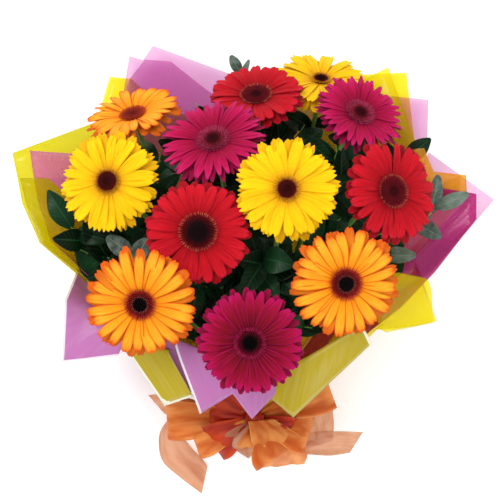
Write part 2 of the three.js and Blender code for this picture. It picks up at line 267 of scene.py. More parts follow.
def petal_finish(name, stops, streak_code, edge_hue_and_shade_code, lower_row_hue_and_shade_code, edge_hue_and_shade_depth=1.0):
    """Velvety petal: streaked lengthwise, deeper at its edges and tip, and in the lower row. The deeper
    lower row is painted shade under the upper row; the deeper edges and the streaks are partly painted
    shade, where petals meet and between ridges.
    """
    made, tree, shader = material(name, Roughness=0.65, Specular_IOR_Level=0.12)
    across, along, tone = marks(tree)
    grain = placed(tree, PETAL_GRAIN, Across=across, Along=along, Tone=tone)
    body = ramp(tree, along, stops)
    # The lower row is painted darker, as the shade under the upper row; for orange it is also redder, its
    # own colour.
    lower_row = times(tree, mask(tree, tone, 0.52, 0.48), mask(tree, along, 0.1, 0.9))
    body = mixed(tree, times(tree, lower_row, 0.7), body, colour(lower_row_hue_and_shade_code))
    # Sides and tip take the edge colour: partly the petal's own deeper rim, partly painted shade where
    # petals meet.
    sides = mask(tree, maths(tree, "ABSOLUTE", across), 0.6, 1.0)
    edge = maths(tree, "MAXIMUM", sides, mask(tree, along, 0.88, 1.0))
    depth = plus(tree, times(tree, tone, 0.5), 0.2)
    edge = times(tree, edge, times(tree, depth, edge_hue_and_shade_depth, clamp=True))
    body = mixed(tree, edge, body, colour(edge_hue_and_shade_code))
    # Streaks: the petal's own fine veins, partly painted shade between its ridges.
    body = mixed(tree, times(tree, grain["Streak"], 0.6), body, colour(streak_code))
    # Painted shade: the lower row has the lower tones, so this darkens that row as the shade under the upper
    # row, besides varying each petal at random.
    shade = plus(tree, times(tree, tone, 0.2), 0.88)
    varied = mixed(tree, 1.0, body, vector(tree, shade, shade, shade), "MULTIPLY")
    paint(tree, shader, varied)
    bump(tree, shader, grain["Height"], 0.7, 0.0016)
    return made


def disc_finish(name, stops):
    made, tree, shader = material(name, Roughness=0.7, Specular_IOR_Level=0.1)
    rings = ramp(tree, mark(tree, "along"), stops)
    tone = mark(tree, "tone")
    shade = plus(tree, times(tree, tone, 0.7), 0.62)
    grain = cloud(tree, object_place(tree), 900.0)
    varied = mixed(tree, 1.0, rings, vector(tree, shade, shade, shade), "MULTIPLY")
    paint(tree, shader, varied)
    bump(tree, shader, grain, 0.3, 0.0004)
    return made


def stalk_finish():
    made, tree, shader = material("stalk_green", Roughness=0.55, Specular_IOR_Level=0.25)
    place = object_place(tree)
    mottle = cloud(tree, place, 60.0)
    ridges = cloud(tree, vector(tree, *marks(tree)), 9.0)
    body = ramp(tree, mottle, [(0.3, "3f6b28"), (0.55, "5c8a38"), (0.75, "7fa650")])
    paint(tree, shader, mixed(tree, mask(tree, ridges, 0.45, 0.75), body, colour("94b564")))
    bump(tree, shader, plus(tree, ridges, cloud(tree, place, 700.0)), 0.4, 0.0006)
    return made


def leaf_finish(name, face, vein, gloss, bloom=None):
    made, tree, shader = material(name, Roughness=gloss, Specular_IOR_Level=0.16)
    across, along, tone = marks(tree)
    veins = placed(tree, LEAF_VEINS, Across=across, Along=along, Tone=tone)
    mottle = cloud(tree, object_place(tree), 45.0)
    own_shade = times(tree, tone, 0.5)
    body = ramp(tree, plus(tree, own_shade, times(tree, mottle, 0.6)), face)
    if bloom:
        powder = mask(tree, cloud(tree, object_place(tree), 160.0), 0.35, 0.7)
        body = mixed(tree, times(tree, powder, 0.6), body, colour(bloom))
    veined = mixed(tree, times(tree, veins["Vein"], 0.55), body, colour(vein))
    paint(tree, shader, veined)
    bump(tree, shader, plus(tree, veins["Height"], times(tree, mottle, 0.8)), 0.5, 0.0008)
    return made


def see_through(tree, shader, tint_code, hidden):
    """Lets what is behind show in that tint, except for the hidden share."""
    through = add(tree, "ShaderNodeBsdfTransparent", {0: colour(tint_code)})
    blend = add(tree, "ShaderNodeMixShader", {0: hidden, 1: through.outputs[0], 2: shader.outputs[0]})
    tree.links.new(blend.outputs[0], tree.nodes["Material Output"].inputs[0])


def film_finish(name, body_code, tint_code, rim_code, cover, crease=0.25, coat=0.5):
    """Coloured film: it tints what is seen through it, and cover is how much it hides."""
    made, tree, shader = material(name, Roughness=0.22, Coat_Weight=coat, Coat_Roughness=0.08)
    across, along, tone = marks(tree)
    creases = placed(tree, FILM_CREASES, Across=across, Along=along, Tone=tone)
    rim = mask(tree, mark(tree, "rim"), 2.8, 2.2)
    haze = times(tree, creases["Haze"], 0.04)
    body = mixed(tree, haze, colour(body_code), colour("ffffff"))
    paint(tree, shader, mixed(tree, rim, body, colour(rim_code)))
    bump(tree, shader, creases["Height"], crease, 0.002)
    hidden = plus(tree, times(tree, haze, 0.4), cover)
    see_through(tree, shader, tint_code, maths(tree, "MAXIMUM", hidden, times(tree, rim, 0.92)))
    return made


def organza_finish(name, dark_code, light_code, tint_code, cover):
    """Sheer ribbon: a plain weave of fine shiny threads with a denser selvedge."""
    made, tree, shader = material(name, Roughness=0.42, Specular_IOR_Level=0.4)
    across, along, tone = marks(tree)
    warp = maths(tree, "SINE", times(tree, across, 260.0))
    weft = maths(tree, "SINE", times(tree, along, 900.0))
    weave = times(tree, plus(tree, warp, weft), 0.5)
    flow = cloud(tree, vector(tree, across, times(tree, along, 1.6), tone), 1.8, 2.0)
    body = mixed(tree, mask(tree, flow, 0.3, 0.7), colour(dark_code), colour(light_code))
    paint(tree, shader, body)
    bump(tree, shader, weave, 0.25, 0.0003)
    selvedge = mask(tree, maths(tree, "ABSOLUTE", across), 0.93, 0.97)
    hidden = plus(tree, times(tree, weave, 0.06), cover)
    hidden = plus(tree, hidden, times(tree, selvedge, 0.3), clamp=True)
    see_through(tree, shader, tint_code, hidden)
    return made


def twine_finish():
    made, tree, shader = material("twine", Roughness=0.9)
    place = object_place(tree)
    strands = add(tree, "ShaderNodeTexWave", {"Vector": place, "Scale": 260.0, "Distortion": 2.0}).outputs[1]
    body = mixed(tree, strands, colour("8a7749"), colour("cdbb8b"))
    paint(tree, shader, body)
    bump(tree, shader, strands, 0.8, 0.0006)
    return made


# Each petal finish: its colours from foot to tip, then those of its streaks, of its edge and of
# the lower row, and how strongly its edge is coloured where that isn't 1
# The edge and streak colours are partly painted shade, where petals meet and between ridges; the lower row's
# colour is painted shade under the upper row.
petal_colours = {
    "crimson": ([(0.0, "50000e"), (0.4, "80001c"), (0.72, "a40238"), (1.0, "c40860")],
                "66001a", "bc0860", "7c0024"),
    "red": ([(0.0, "780008"), (0.3, "b20616"), (0.85, "d01024"), (1.0, "e02038")],
            "8c0010", "a8081c", "94040f"),
    "pink": ([(0.0, "7c0426"), (0.3, "a80438"), (0.75, "cc1258"), (1.0, "dc2c78")],
             "78022c", "c01062", "880434"),
    "orange": ([(0.0, "dc6a08"), (0.2, "f89c14"), (0.74, "fcb02a"), (0.9, "f49424"), (1.0, "e86414")],
               "ea7a10", "dc480c", "c83a08", 1.8),
    "yellow": ([(0.0, "b87410"), (0.16, "e8a80c"), (0.3, "f8c006"), (0.8, "fccc08"), (1.0, "fed612")],
               "ecac04", "f2bc06", "e8a804"),
    "orange_under": ([(0.0, "b83e08"), (0.5, "dc540a"), (1.0, "e0440c")], "a82e08", "d83c08", "c8400a"),
}

# Each middle's colours, from its centre to its fringe
disc_colours = {
    "crimson": [(0.0, "020001"), (0.42, "040103"), (0.54, "560618"), (0.8, "860a30"), (0.94, "a0244c"),
                (1.0, "8c0c3c")],
    "red": [(0.0, "010001"), (0.48, "0a0103"), (0.64, "560610"), (0.88, "84121a"), (0.95, "b45c48"),
            (1.0, "a8402e")],
    "pink": [(0.0, "1c0008"), (0.36, "38040e"), (0.5, "8a1830"), (0.78, "a83854"), (0.9, "9c284c"),
             (1.0, "b84468")],
    "orange": [(0.0, "060102"), (0.44, "0c0206"), (0.52, "a04c44"), (0.6, "861616"), (0.86, "a42a22"),
               (0.95, "b43a2a"), (1.0, "c04c24")],
    "yellow": [(0.0, "100102"), (0.5, "280304"), (0.72, "680c06"), (0.82, "b06a1c"), (1.0, "dca424")],
    "red_open": [(0.0, "060001"), (0.22, "140003"), (0.4, "50040f"), (0.86, "78101e"), (0.95, "b45c48"),
                 (1.0, "a8402e")],
    "orange_shut": [(0.0, "5c1410"), (0.5, "8c2a1c"), (0.8, "a23420"), (1.0, "c05424")],
}

# Each film: its own colour, the tint of what shows through it, its rim's colour and its cover
film_colours = {
    "pink": ("d83c9c", "f6e7f5", "f4ecf4", 0.15),
    "yellow": ("e7d400", "fffb99", "fbf8e0", 0.19),
    "pink_milky": ("e070b0", "f6dcee", "f4ecf4", 0.4),
    # The next finish is pink film painted darker, as the shade of the dark leaves and flowers under it.
    "pink_dark": ("c81a7c", "e4a4cc", "f4ecf4", 0.37),
    "yellow_deep": ("c8c000", "f6f07a", "fbf8e0", 0.28),
    "amber": ("e09c14", "fbe0a0", "fbf8e0", 0.36),
    "pink_backed": ("bc72ae", "e8b0d8", "efe0ee", 0.86, 0.08, 0.15),
    "yellow_backed": ("b8a202", "fff080", "f4f0d8", 0.88, 0.08, 0.15),
}

PETALS = {kind: petal_finish("petal_" + kind, *plan) for kind, plan in petal_colours.items()}
DISCS = {kind: disc_finish("disc_" + kind, stops) for kind, stops in disc_colours.items()}
FILMS = {kind: film_finish("film_" + kind, *plan) for kind, plan in film_colours.items()}
STALK = stalk_finish()
LEAF = leaf_finish("leaf_dark", [(0.2, "010b03"), (0.5, "08220e"), (0.9, "1e4e2c")], "2c5c34", 0.34)
GUM = leaf_finish("leaf_grey", [(0.2, "2c3c34"), (0.5, "46584c"), (0.9, "687868")], "8a9888", 0.5, "7c8c84")
ORGANZAS = {
    "orange": organza_finish("organza_orange", "cc600e", "f2a454", "ffdcb4", 0.52),
    "pale": organza_finish("organza_peach", "c08460", "e0b294", "fadcc4", 0.44),
    # Deep red-orange organza: dense layers of ribbon, partly painted shade where loops lie under the film
    # flaps.
    "deep": organza_finish("organza_deep_shaded", "9c1404", "d04410", "ffb080", 0.7),
}
TWINE = twine_finish()


# ---------------------------------------------------------------- making meshes


def new_mesh():
    mesh = bmesh.new()
    for name in ("across", "along", "tone", "rim"):
        mesh.verts.layers.float.new(name)
    return mesh


def label(mesh, verts, **values):
    for name, value in values.items():
        layer = mesh.verts.layers.float[name]
        for vert in verts:
            vert[layer] = value


def laid_grid(mesh, columns, rows, shape, tone=0.0, rim=None):
    """A grid that shape(across, along) places: across runs from -1 to 1 and along from 0 to 1."""
    layers = [mesh.verts.layers.float[name] for name in ("across", "along", "tone", "rim")]
    made = bmesh.ops.create_grid(mesh, x_segments=columns, y_segments=rows, size=1.0)["verts"]
    for vert in made:
        across, along = vert.co.x, (vert.co.y + 1) / 2
        edge = rim(across, along) if rim else NO_RIM
        for layer, value in zip(layers, (across, along, tone, edge)):
            vert[layer] = value
        vert.co = shape(across, along)
    return made


def modifier(thing, name, kind, **settings):
    made = thing.modifiers.new(name, kind)
    for key, value in settings.items():
        setattr(made, key, value)


def piece(name, mesh, finishes, stands_for=(), thickness=None, rounds=0):
    """Makes the object, which keeps its place in its mesh, and hides the solids it stands for."""
    data = bpy.data.meshes.new(name)
    mesh.to_mesh(data)
    mesh.free()
    data.polygons.foreach_set("use_smooth", [True] * len(data.polygons))
    for finish in finishes:
        data.materials.append(finish)
    thing = bpy.data.objects.new(name, data)
    bpy.context.scene.collection.objects.link(thing)
    if thickness:
        modifier(thing, "thickness", "SOLIDIFY", thickness=thickness * MM, offset=0.0,
                 material_offset=len(finishes) - 1)
    if rounds:
        modifier(thing, "rounded", "SUBSURF", levels=rounds, render_levels=rounds)
    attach(thing, "root")
    if stands_for:
        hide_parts(*stands_for)
    return thing


def declare_sheet(shape, columns=12, rows=24):
    """Measures a sheet's width and length from its own shape, and does nothing more with them.

    A narrow wedge is said to be larger than it is: SMALLEST_CUT of its width times its length.
    """
    laid = [[shape(2 * i / columns - 1, j / rows) for i in range(columns + 1)] for j in range(rows + 1)]
    width = max(sum((b - a).length for a, b in zip(row, row[1:])) for row in laid)
    length = sum(sum((b - a).length for a, b in zip(line, line[1:])) for line in zip(*laid)) / (columns + 1)
    for row, above in zip(laid, laid[1:]):
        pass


def round_ways(angle):
    """The ways outwards and sideways at that angle round a middle."""
    return Vector((math.cos(angle), math.sin(angle), 0)), Vector((math.sin(angle), -math.cos(angle), 0))


def line_of(points):
    return [Vector(point) for point in points]


def smooth_step(value, low, high):
    share = min(max((value - low) / (high - low), 0.0), 1.0)
    return share * share * (3 - 2 * share)


def through(points, share):
    """A point of the smooth curve through the points, which bends no wider than they do."""
    place = share * (len(points) - 1)
    index = min(int(place), len(points) - 2)
    part = place - index
    start, end = points[index], points[index + 1]
    before = points[index - 1] if index > 0 else start * 2 - end
    after = points[index + 2] if index + 2 < len(points) else end * 2 - start
    spans = [max((b - a).length, 1e-4) ** 0.5 for a, b in ((before, start), (start, end), (end, after))]
    first, middle, last = spans
    leave = ((start - before) / first - (end - before) / (first + middle) + (end - start) / middle) * middle
    arrive = ((end - start) / middle - (after - start) / (middle + last) + (after - end) / last) * middle
    rest = 1 - part
    return (start * (rest * rest * (1 + 2 * part)) + leave * (rest * rest * part)
            + end * (part * part * (3 - 2 * part)) - arrive * (part * part * rest))


def between(points, share):
    place = share * (len(points) - 1)
    index = min(int(place), len(points) - 2)
    return points[index].lerp(points[index + 1], place - index)


def bezier(points, share):
    rest = 1 - share
    return (points[0] * rest ** 3 + points[1] * (3 * rest * rest * share)
            + points[2] * (3 * rest * share * share) + points[3] * share ** 3)


def stalk_path(slot, end, facing, steps=14):
    """Planned points up a stalk: straight through the tie, then curving to its end."""
    foot, neck = slot_point(slot, -HANDLE), slot_point(slot, NECK)
    span = (end - neck).length
    bend = (neck, neck + AXIS * span * 0.32, end - facing * span * 0.25, end)
    return [foot] + [bezier(bend, i / steps) for i in range(steps + 1)]


def tube(mesh, path, radii, sides=8, tone=0.0):
    """A round stalk: a ring of edges that is extruded from point to point."""
    places = []
    side = (path[1] - path[0]).orthogonal().normalized()
    for i, point in enumerate(path):
        heading = (path[min(i + 1, len(path) - 1)] - path[max(i - 1, 0)]).normalized()
        side = (side - heading * side.dot(heading)).normalized()
        turn = Matrix((side, heading.cross(side), heading)).transposed().to_4x4()
        places.append(Matrix.Translation(point) @ turn @ Matrix.Scale(radii[i], 4))
    foot = bmesh.ops.create_circle(mesh, cap_ends=True, radius=1.0, segments=sides, matrix=places[0])
    ring = foot["verts"]
    edges = list(dict.fromkeys(edge for vert in ring for edge in vert.link_edges))
    made = list(ring)
    for i in range(1, len(path)):
        grown = bmesh.ops.extrude_edge_only(mesh, edges=edges)["geom"]
        ring = [part for part in grown if isinstance(part, bmesh.types.BMVert)]
        edges = [part for part in grown if isinstance(part, bmesh.types.BMEdge)]
        bmesh.ops.transform(mesh, matrix=places[i] @ places[i - 1].inverted(), verts=ring)
        label(mesh, ring, along=i / len(path))
        made += ring
    bmesh.ops.contextual_create(mesh, geom=edges)
    label(mesh, made, tone=tone)
    return made


# ---------------------------------------------------------------- gerberas

# Each flower: its place in the bundle, how far it tips and towards which side in degrees, and
# how far its petals rise to their tips; the start of its name is its colour
gerberas = {
    "crimson_front": ((0, 2), 5, -90, 0), "orange_left": ((-2, 2), 13, -110, 0),
    "orange_right": ((2, 2), 10, -60, 0), "red_left": ((-1, 1), 5, 90, 0),
    "yellow_centre": ((1, 1), 3, 90, 0), "yellow_left": ((-4, 0), 12, 160, 0),
    "red_right": ((3, 1), 27, 14, 4), "pink_top": ((-2, 0), 38, 105, 5),
    "pink_right": ((2, 0), 35, 60, 7), "red_top": ((1, -1), 45, 97, 6),
    "orange_top_left": ((-2, -2), 54, 105, 8), "yellow_top_right": ((2, -2), 50, 85, 5),
}

# Heads whose middle is further open or more shut than its colour's other ones
other_middles = {"orange_top_left": "orange_shut", "red_right": "red_open", "red_top": "red_open"}

# Petals in a row, their width, how far the tip's corners fall back, the depth of the tip's
# notches, how much a petal narrows at its tip, the share of the middle that is black, and how
# uneven the petals are
petal_shapes = {
    "crimson": (30, 12.4, 3.4, 1.6, 0.66, 0.44, 1.0),
    "red": (25, 12.8, 2.8, 1.7, 0.80, 0.62, 1.1),
    "pink": (34, 9.0, 3.8, 1.8, 0.58, 0.48, 1.5),
    "orange": (23, 12.2, 2.2, 2.2, 0.86, 0.48, 1.6),
    "yellow": (23, 12.6, 1.2, 4.4, 0.94, 0.74, 1.3),
}


def head_seat(name, tip, towards):
    """Where a head sits, from its solids: its frame, its radius and its middle's radius in mm."""
    tip, towards = math.radians(tip), math.radians(towards)
    facing = Vector((math.sin(tip) * math.cos(towards), math.sin(tip) * math.sin(towards), math.cos(tip)))
    petals = [v.co.copy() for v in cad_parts["petals_" + name].data.vertices]
    middle = [v.co.copy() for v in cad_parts["disc_" + name].data.vertices]
    centre = sum(middle, Vector()) / len(middle)
    floor = min((point - centre).dot(facing) for point in middle)
    seat = centre + facing * (floor - DISC_LOW * MM)

    def reach(points):
        return max((p - seat - facing * (p - seat).dot(facing)).length for p in points) / MM

    turn = UP.rotation_difference(facing).to_matrix().to_4x4()
    return Matrix.Translation(seat) @ turn @ Matrix.Scale(MM, 4), facing, reach(petals), reach(middle)


def petal_row(mesh, rng, kind, count, start, reach, lift, sag, rise, phase, tones):
    """One row of petals round the middle, each a little different from the next."""
    _, width, corner, notch, narrow, _, uneven = petal_shapes[kind]
    for i in range(count):
        angle = phase + (i + rng.uniform(-0.24, 0.24)) * 2 * math.pi / count
        outward, sideways = round_ways(angle)
        length = (reach - start) * rng.uniform(1 - 0.1 * uneven, 1.0)
        half = width / 2 * rng.uniform(0.82, 1.08)
        drop, twist = sag * rng.uniform(0.3, 1.7), rng.uniform(-0.3, 0.3) * uneven
        stray, bow = rng.uniform(-2.2, 2.2) * uneven, rng.uniform(1.0, 2.8)
        teeth = [rng.uniform(0.4, 1.3) * notch for _ in range(2)]
        cup = rng.uniform(0.5, 1.5)

        def shape(across, along):
            share = along ** 0.85
            body = 0.44 + 0.56 * smooth_step(share, 0.0, 0.62) - (1 - narrow) * smooth_step(share, 0.72, 1.0)
            side = across * half * body
            end = smooth_step(share, 0.6, 1.0)
            distance = start + length * share - end * corner * across * across
            distance -= end * teeth[0] * math.cos(across * math.pi * 2) * (1 - abs(across))
            distance += end * teeth[1] * 0.5 * math.cos(across * math.pi)
            height = lift + bow * math.sin(math.pi * min(share * 1.05, 1)) - drop * share ** 3
            height += cup * across * across * body + side * twist * share + rise * share
            height -= 0.7 * math.cos(across * math.pi * 2) * smooth_step(share, 0.1, 0.4) * (1 - 0.7 * end)
            side += stray * share * share
            return outward * distance + sideways * side + UP * height

        laid_grid(mesh, 8, 8, shape, rng.uniform(*tones))


def ray_petals(name, rng, seat, radius, eye, rise):
    kind = name.split("_")[0]
    count = petal_shapes[kind][0]
    mesh = new_mesh()
    start = eye * 0.62
    phase = rng.uniform(0, math.pi)
    half_step = math.pi / count
    petal_row(mesh, rng, kind, count, start, radius * 1.07, -1.8, 4.8, rise * 0.5, phase, LOWER_TONES)
    petal_row(mesh, rng, kind, count, start, radius * 1.02, 0.6, 2.2, rise, phase + half_step, UPPER_TONES)
    bmesh.ops.transform(mesh, matrix=seat, verts=mesh.verts)
    finishes = [PETALS[kind]]
    if kind + "_under" in PETALS:
        finishes.append(PETALS[kind + "_under"])
    piece("rays_" + name, mesh, finishes, ["petals_" + name], PETAL_SKIN, 1)


def floret(mesh, rng, radius, angle, height, size, length, lean, sides, eye):
    """A small tapered floret at that radius; lean tips it outwards."""
    turn = Matrix.Rotation(angle, 4, "Z") @ Matrix.Rotation(lean, 4, "Y")
    place = Matrix.Translation((radius * math.cos(angle), radius * math.sin(angle), height))
    made = bmesh.ops.create_cone(mesh, cap_ends=True, segments=sides, radius1=size, radius2=size * 0.45,
                                 depth=length, matrix=place @ turn)["verts"]
    label(mesh, made, along=min(radius / eye, 1.0), tone=rng.random())


def turned(mesh, profile, steps):
    """A closed round body, turned from a profile of radii and heights."""
    line = [mesh.verts.new((x, 0, z)) for x, z in profile]
    for first, second in zip(line, line[1:]):
        mesh.edges.new((first, second))
    bmesh.ops.spin(mesh, geom=mesh.verts[:] + mesh.edges[:], axis=UP, cent=(0, 0, 0), angle=2 * math.pi,
                   steps=steps, use_merge=True)
    bmesh.ops.remove_doubles(mesh, verts=mesh.verts, dist=1e-4)


def middle_disc(name, rng, seat, eye):
    """A low dome packed with florets in a spiral, inside a fringe of longer ones."""
    kind = name.split("_")[0]
    black = petal_shapes[kind][5]
    mesh = new_mesh()
    turned(mesh, ((0, 3.4), (eye * 0.5, 4.6), (eye * 0.86, 3.4), (eye * 0.9, -1), (0, -1)), 20)
    label(mesh, mesh.verts, along=black * 0.8, tone=0.3)
    bmesh.ops.recalc_face_normals(mesh, faces=mesh.faces)
    count = 190
    for i in range(count):
        share = math.sqrt((i + 0.5) / count)
        radius = share * eye * 0.86
        inside = share < black
        height = 4.6 - 1.4 * smooth_step(share, 0.25, 0.0) - 0.9 * smooth_step(share, 0.6, 1.0)
        size = 0.75 if inside else 0.95
        floret(mesh, rng, radius, i * GOLDEN_TURN, height + rng.uniform(-0.2, 0.2), size * eye / 17,
               1.8 if inside else 2.6, 0.1 + 0.5 * share, 5, eye)
    for row, (place, height, length, lean) in enumerate(((0.86, 4.4, 4.2, 0.75), (0.95, 3.8, 4.4, 1.05))):
        threads = 64
        for i in range(threads):
            angle = (i + 0.5 * row + rng.uniform(-0.3, 0.3)) * 2 * math.pi / threads
            floret(mesh, rng, eye * place * rng.uniform(0.97, 1.02), angle, height, 0.55, length,
                   lean + rng.uniform(-0.15, 0.15), 4, eye)
    bmesh.ops.transform(mesh, matrix=seat, verts=mesh.verts)
    finish = other_middles.get(name, kind)
    piece("florets_" + name, mesh, [DISCS[finish]], ["disc_" + name])


def bract_row(mesh, rng, count, foot, top, length, flare):
    """Pointed green bracts that overlap round the cup."""
    for i in range(count):
        angle = (i + rng.uniform(-0.2, 0.2)) * 2 * math.pi / count + foot
        outward, sideways = round_ways(angle)

        def shape(across, along):
            half = 2.3 * (0.75 + 0.25 * math.sin(math.pi * along))
            half *= 1 - smooth_step(along, 0.5, 1.0) * 0.85
            swell = 4.6 + 7.0 * smooth_step((top + along * length + 16) / 16, 0.0, 1.0)
            out = outward * (swell + flare * along * along)
            return out + sideways * across * half + UP * (top + along * length)

        laid_grid(mesh, 2, 4, shape, rng.random())


def flower_stalk(name, rng, seat, facing, slot):
    """The bare green stalk, the cup under the head and the bracts that cover the cup."""
    mesh = new_mesh()
    head = TIE_PLAN + (seat.translation - TIE) / MM
    path = [spot(point) for point in stalk_path(slot, head - facing * 8, facing)]
    thick = [STEM_RADIUS * MM * (1.06 - 0.22 * i / len(path)) for i in range(len(path))]
    tube(mesh, path, thick, 10, rng.random())
    cup = new_mesh()
    turned(cup, ((0, -17), (3.2, -16.4), (7.4, -12), (10.4, -6), (11, -1), (0, -1)), 18)
    bmesh.ops.transform(cup, matrix=seat, verts=cup.verts)
    bmesh.ops.recalc_face_normals(mesh, faces=mesh.faces)
    bmesh.ops.recalc_face_normals(cup, faces=cup.faces)
    cup.to_mesh(scratch := bpy.data.meshes.new("cup"))
    mesh.from_mesh(scratch)
    cup.free()
    bpy.data.meshes.remove(scratch)
    piece("stalk_" + name, mesh, [STALK], ["stem_" + name])
    bracts = new_mesh()
    bract_row(bracts, rng, 15, 0.0, -16.5, 8.0, 0.8)
    bract_row(bracts, rng, 18, 0.2, -11.5, 9.0, 1.2)
    bract_row(bracts, rng, 20, 0.1, -7.5, 8.0, 2.0)
    bmesh.ops.transform(bracts, matrix=seat, verts=bracts.verts)
    piece("bracts_" + name, bracts, [STALK], thickness=PETAL_SKIN)


for order, (flower, (slot, tip, towards, rise)) in enumerate(gerberas.items()):
    chance = random.Random(40 + order)
    seat, facing, radius, eye = head_seat(flower, tip, towards)
    ray_petals(flower, chance, seat, radius, eye, rise)
    middle_disc(flower, chance, seat, eye)
    flower_stalk(flower, chance, seat, facing, slot)


# ---------------------------------------------------------------- foliage

# Each sprig: its place in the bundle, the point its stalk reaches, and its leaves with the
# share of the stalk they grow from, their tip and their width
sprigs = {
    "leaves_left": ((-3, -1), (-198, 26, 92), 14, LEAF,
                    [(0.99, (-222, 66, 96), 26), (0.93, (-214, 12, 108), 26), (0.85, (-178, 40, 118), 28),
                     (0.76, (-176, -30, 112), 26), (0.66, (-118, 4, 96), 30)]),
    "eucalyptus_left": ((-3, 1), (-128, -2, 145), 8, GUM,
                        [(0.99, (-150, 14, 152), 20), (0.96, (-108, 12, 150), 20),
                         (0.88, (-136, -22, 140), 18), (0.8, (-86, -8, 134), 20)]),
    "leaves_centre": ((0, 0), (14, -6, 150), 16, LEAF,
                      [(0.99, (46, -16, 168), 30), (0.96, (-12, -10, 168), 30), (0.9, (30, -48, 152), 26),
                       (0.82, (-22, -44, 150), 26), (0.72, (-8, 26, 112), 24)]),
    "leaves_back": ((-1, -1), (-6, 72, 112), 16, LEAF,
                    [(0.99, (12, 110, 122), 30), (0.94, (-36, 62, 132), 28), (0.86, (34, 60, 118), 28),
                     (0.74, (-40, 18, 102), 28)]),
    "eucalyptus_right": ((4, 0), (206, 48, 92), 8, GUM,
                         [(0.995, (240, 62, 96), 17), (0.97, (206, 82, 100), 17), (0.92, (208, 14, 104), 19),
                          (0.86, (176, 58, 100), 18), (0.78, (182, -6, 96), 19)]),
    "leaves_right": ((3, -1), (176, 104, 62), 14, LEAF,
                     [(0.99, (204, 126, 62), 22), (0.94, (152, 118, 82), 26), (0.85, (174, 62, 74), 28),
                      (0.72, (100, 40, 78), 30)]),
    "eucalyptus_top": ((0, -2), (-12, 206, 38), 6, GUM,
                       [(0.995, (-22, 222, 46), 13), (0.97, (-1, 217, 47), 8), (0.9, (-36, 178, 44), 17),
                        (0.84, (20, 150, 36), 17)]),
}


# Where the side twigs of a sprig end: they carry the leaves that darken the gaps between heads
side_twigs = {
    "leaves_left": [(-98, 109, 82), (-141, 8, 104), (-104, 76, 98), (-168, 108, 66), (-196, 4, 84)],
    "leaves_centre": [(67, -84, 122), (-56, -84, 122), (-60, -34, 122), (22, -14, 130), (98, 34, 112)],
    "leaves_back": [(-24, 88, 104), (61, 140, 72), (-72, 122, 78), (98, 80, 92), (-62, 168, 46),
                    (40, 168, 42)],
    "leaves_right": [(135, 178, 40), (172, -8, 78), (150, 20, 92), (186, 112, 54), (96, 118, 70)],
}


def leaf(mesh, rng, foot, tip, width, round_tip):
    """A leaf from its foot to its tip, folded a little along its midrib and arched."""
    along_line = tip - foot
    length = along_line.length
    across_line = along_line.cross(UP).normalized()
    rise = across_line.cross(along_line).normalized()
    fold, arch = rng.uniform(0.12, 0.3), length * rng.uniform(0.06, 0.14)
    ripple, phase, roll = rng.uniform(0.2, 0.9), rng.uniform(0, 6), rng.uniform(-0.35, 0.35)
    power = 0.62 if round_tip else 0.95

    def shape(across, along):
        outline = math.sin(math.pi * min(along * 0.95 + 0.025, 1.0) ** 0.86) ** power
        half = 0.5 + (width / 2 - 0.5) * outline
        side = across * half
        height = arch * math.sin(math.pi * along) + fold * abs(side) - 0.05 * length * along ** 3
        height += ripple * abs(across) * math.sin(along * 11 + phase + across)
        height += side * roll * along
        return spot(foot + along_line * along - across_line * side + rise * height)

    laid_grid(mesh, 6, 9, shape, rng.random())


def share_point(path, share):
    """The point at that share of the whole length of the path, and the way it heads there."""
    lengths = [(b - a).length for a, b in zip(path, path[1:])]
    left = share * sum(lengths)
    for start, end, length in zip(path, path[1:], lengths):
        if left <= length:
            return start.lerp(end, left / length), (end - start).normalized()
        left -= length
    return path[-1], (path[-1] - path[-2]).normalized()


WRAP_CENTRE = Vector((-8, 25, 0))
WRAP_HALF = Vector((182, 128, 1))


def held_inside(point):
    """The point, drawn in far enough that the wrap would hold it."""
    off = point - WRAP_CENTRE
    far = math.hypot(off.x / WRAP_HALF.x, off.y / WRAP_HALF.y)
    if far > 1:
        point.x, point.y = WRAP_CENTRE.x + off.x / far, WRAP_CENTRE.y + off.y / far
        point.z = max(point.z - 18, LOWEST_LEAF)
    return point


def extra_leaves(mesh, rng, path, count, finish, width, lowest=0.42):
    """Leaves that the solids leave out: they fill the sprig between its main leaves."""
    for i in range(count):
        share = lowest + (0.98 - lowest) * (i + rng.random()) / count
        foot, heading = share_point(path, share)
        turn = i * GOLDEN_TURN + rng.uniform(-0.4, 0.4)
        spread = Vector((math.cos(turn), math.sin(turn), rng.uniform(-0.15, 0.25)))
        reach = rng.uniform(0.8, 1.15) * (52 if finish is LEAF else 26)
        tip = foot + (heading * 0.55 + spread).normalized() * reach
        tip.z = max(tip.z, LOWEST_LEAF)
        tip = held_inside(tip)
        if (tip - foot).length < 18:
            continue
        leaf(mesh, rng, foot, tip, width * rng.uniform(0.75, 1.0), finish is GUM)


